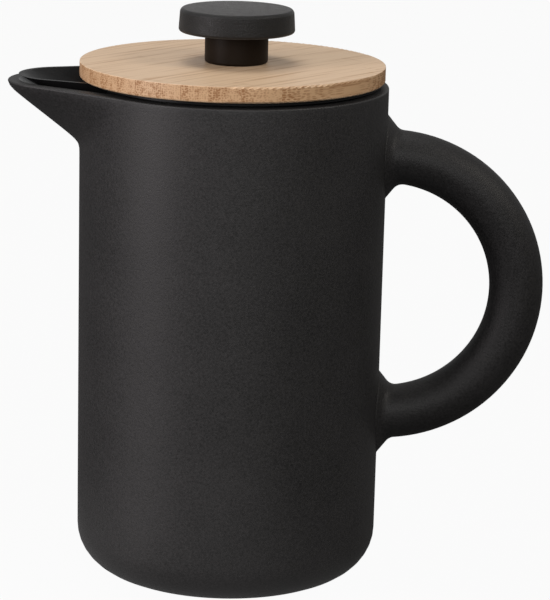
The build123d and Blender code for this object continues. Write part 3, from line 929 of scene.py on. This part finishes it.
class PRESS_OT_plunger(bpy.types.Operator):
    """Finish the rod, its collar and the pressed plates of the filter"""

    bl_idname = "press.plunger"
    bl_label = "Rod and Plates"

    def execute(self, context):
        tone = colours()
        nodes = frame["nodes"]
        bright = metal("rod_steel", tone.steel, rough=(0.16, 0.28), rings=1800.0, relief=0.012)
        pressed = metal("pressed_steel", tone.steel, rough=(0.20, 0.36), rings=2600.0)
        dress(merged_copy("plunger_rod", "drawn_rod"), bright, "plunger", "steel", "plunger_rod")
        dress(nodes["rod_collar"], bright)
        dress(merged_copy("spring_plate", "pressed_dish"), pressed, "filter_stack", "steel", "spring_plate")
        dress(merged_copy("cross_plate", "pressed_cross"), pressed, "hub", "steel", "cross_plate")
        dress(nodes["hub_nut"], bright)
        filter_mesh = merged_copy("filter_mesh", "woven_filter")
        dress(filter_mesh, woven_mesh(), "filter_stack", "mesh_steel", "filter_mesh")
        return {"FINISHED"}


def wind_spring():
    """The garter spring: wire wound along a straight line, bent to a ring and joined at its ends."""
    size = lid_sizes()
    reach = (coil_high.z - coil_low.z) / 2
    ring = coil_high.x - reach
    level = (coil_high.z + coil_low.z) / 2
    run = 2 * math.pi * ring - 2 * size.coil_wire
    deselect()
    bpy.ops.mesh.primitive_circle_add(
        vertices=WIRE_SIDES, radius=size.coil_wire, fill_type="NOTHING",
        location=(0.0, 0.0, reach - size.coil_wire), rotation=(math.pi / 2, 0.0, 0.0),
    )
    piece = settle(bpy.context.object, "garter_spring")
    winding = piece.modifiers.new("winding", "SCREW")
    winding.axis = "X"
    winding.angle = 2 * math.pi
    winding.screw_offset = run / size.coil_turns
    winding.iterations = size.coil_turns
    winding.steps = WIRE_STEPS
    winding.render_steps = WIRE_STEPS
    winding.use_normal_calculate = True
    bpy.ops.object.modifier_apply(modifier="winding")
    closing = piece.modifiers.new("closing", "SIMPLE_DEFORM")
    closing.deform_method = "BEND"
    closing.deform_axis = "Z"
    closing.angle = 2 * math.pi * SPRING_CLOSE
    bpy.ops.object.modifier_apply(modifier="closing")
    sides = list(zip(*piece.bound_box))
    middle = Vector([(min(side) + max(side)) / 2 for side in sides])
    piece.location = (-middle.x, -middle.y, level - middle.z)
    settle(piece, "garter_spring")
    bpy.ops.object.mode_set(mode="EDIT")
    bpy.ops.mesh.select_all(action="DESELECT")
    bpy.ops.mesh.select_non_manifold()
    bpy.ops.mesh.bridge_edge_loops()
    bpy.ops.object.mode_set(mode="OBJECT")
    face_outward()
    smooth(60.0)
    return piece


class PRESS_OT_spring(bpy.types.Operator):
    """Wind the garter spring round the filter's edge"""

    bl_idname = "press.spring"
    bl_label = "Garter Spring"

    def execute(self, context):
        wire = metal("spring_wire", colours().steel, rough=(0.16, 0.28), rings=3000.0)
        dress(wind_spring(), wire, "filter_stack", "steel", "coil_spring")
        return {"FINISHED"}


# Stage


def seen_rays(tree, direct, mirrored):
    """The share of white that rays from the camera, off mirrors and through glass see; light sees none."""
    path = put(tree, "ShaderNodeLightPath").outputs
    bright = calc(tree, "MAXIMUM", path["Is Glossy Ray"], path["Is Transmission Ray"])
    bright = calc(tree, "MULTIPLY", bright, mirrored)
    return calc(tree, "MAXIMUM", calc(tree, "MULTIPLY", path["Is Camera Ray"], direct), bright)


def lay_floor(stage):
    """A pale floor that looks white and keeps a faint shadow, with a pool of light painted round the press.
    """
    deselect()
    bpy.ops.mesh.primitive_plane_add(size=FLOOR_SIDE, location=(0.0, 0.0, cad_low.z - FLOOR_DROP))
    floor = settle(bpy.context.object, "studio_floor")
    material = bpy.data.materials.new("studio_floor")
    material.use_nodes = True
    tree = material.node_tree
    tree.nodes.clear()
    # Painted pool of light: near the press the paint is paler and the reflections whiter
    away = vector_calc(tree, "DISTANCE", place(tree), LIGHT_POOL)["Value"]
    near = spread(tree, away, LIGHT_POOL_FAR, LIGHT_POOL_NEAR, smooth_ends=True)
    tone = blend(tree, near, rgba(stage.floor, 0.4), rgba(stage.floor))
    paint = put(tree, "ShaderNodeBsdfDiffuse", {"Color": tone})
    white = put(tree, "ShaderNodeEmission", {"Color": WHITE, "Strength": 1.0})
    share = seen_rays(tree, FLOOR_WHITE, spread(tree, near, 0.0, 1.0, *FLOOR_MIRRORED))
    mixed = put(tree, "ShaderNodeMixShader", {0: share, 1: paint.outputs[0], 2: white.outputs[0]})
    put(tree, "ShaderNodeOutputMaterial", {"Surface": mixed.outputs[0]})
    floor.data.materials.append(material)


def light_world(scene):
    """A world that looks white and lights the press only faintly."""
    world = bpy.data.worlds.new("studio")
    world.use_nodes = True
    scene.world = world
    tree = world.node_tree
    tree.nodes.clear()
    soft = put(tree, "ShaderNodeBackground", {"Color": WHITE, "Strength": WORLD_LIGHT})
    plain = put(tree, "ShaderNodeBackground", {"Color": WHITE, "Strength": 1.0})
    share = seen_rays(tree, 1.0, WORLD_MIRRORED)
    mixed = put(tree, "ShaderNodeMixShader", {0: share, 1: soft.outputs[0], 2: plain.outputs[0]})
    put(tree, "ShaderNodeOutputWorld", {"Surface": mixed.outputs[0]})


def hang_lamp(name, place_at, look_at, sides, power, tint):
    deselect()
    bpy.ops.object.light_add(type="AREA", location=place_at)
    light = bpy.context.object
    light.name = name
    light.data.shape = "RECTANGLE"
    light.data.size, light.data.size_y = sides
    light.data.energy = power
    light.data.color = tint
    light.rotation_euler = (Vector(look_at) - Vector(place_at)).to_track_quat("-Z", "Y").to_euler()


def set_camera(scene, stage):
    """The camera at the photograph's viewing angle."""
    deselect()
    bpy.ops.object.camera_add()
    camera = bpy.context.object
    camera.name = "photo_view"
    camera.data.lens = stage.lens
    camera.data.sensor_width = 36.0
    camera.data.clip_start = 0.05
    camera.data.clip_end = 30.0
    back = Vector((0.0, -math.cos(stage.tilt), math.sin(stage.tilt)))
    turn = Matrix.Rotation(math.pi / 2 - stage.tilt, 4, "X") @ Matrix.Rotation(stage.roll, 4, "Z")
    camera.matrix_world = Matrix.Translation(Vector(stage.aim) + back * stage.distance) @ turn
    scene.camera = camera


class PRESS_OT_stage(bpy.types.Operator):
    """Set the floor, the soft light and the camera"""

    bl_idname = "press.stage"
    bl_label = "Stage"

    def execute(self, context):
        scene = context.scene
        lay_floor(scene.press_stage)
        light_world(scene)
        for lamp in LAMPS:
            hang_lamp(*lamp)
        set_camera(scene, scene.press_stage)
        scene.view_settings.view_transform = "Standard"
        return {"FINISHED"}


OPERATORS = (PRESS_OT_jug, PRESS_OT_lid, PRESS_OT_knob, PRESS_OT_plunger, PRESS_OT_spring, PRESS_OT_stage)
SETTINGS = {
    "press_jug": JugSizes, "press_lid": LidSizes, "press_colours": PressColours, "press_stage": StageSettings,
}


class PRESS_PT_sidebar(bpy.types.Panel):
    """Lists the pieces and their settings"""

    bl_label = "French Press"
    bl_idname = "PRESS_PT_sidebar"
    bl_space_type = "VIEW_3D"
    bl_region_type = "UI"
    bl_category = "French Press"

    def draw(self, context):
        for operator in OPERATORS:
            self.layout.operator(operator.bl_idname)
        for name, kind in SETTINGS.items():
            box = self.layout.box()
            for setting in kind.__annotations__:
                box.prop(getattr(context.scene, name), setting)


CLASSES = (*SETTINGS.values(), *OPERATORS, PRESS_PT_sidebar)


def register():
    for one in CLASSES:
        bpy.utils.register_class(one)
    for name, kind in SETTINGS.items():
        setattr(bpy.types.Scene, name, PointerProperty(type=kind))


def unregister():
    for name in SETTINGS:
        delattr(bpy.types.Scene, name)
    for one in reversed(CLASSES):
        bpy.utils.unregister_class(one)


def main():
    register()
    bpy.ops.press.jug()
    bpy.ops.press.lid()
    bpy.ops.press.knob()
    bpy.ops.press.plunger()
    bpy.ops.press.spring()
    bpy.ops.press.stage()


if __name__ == "__main__":
    main()
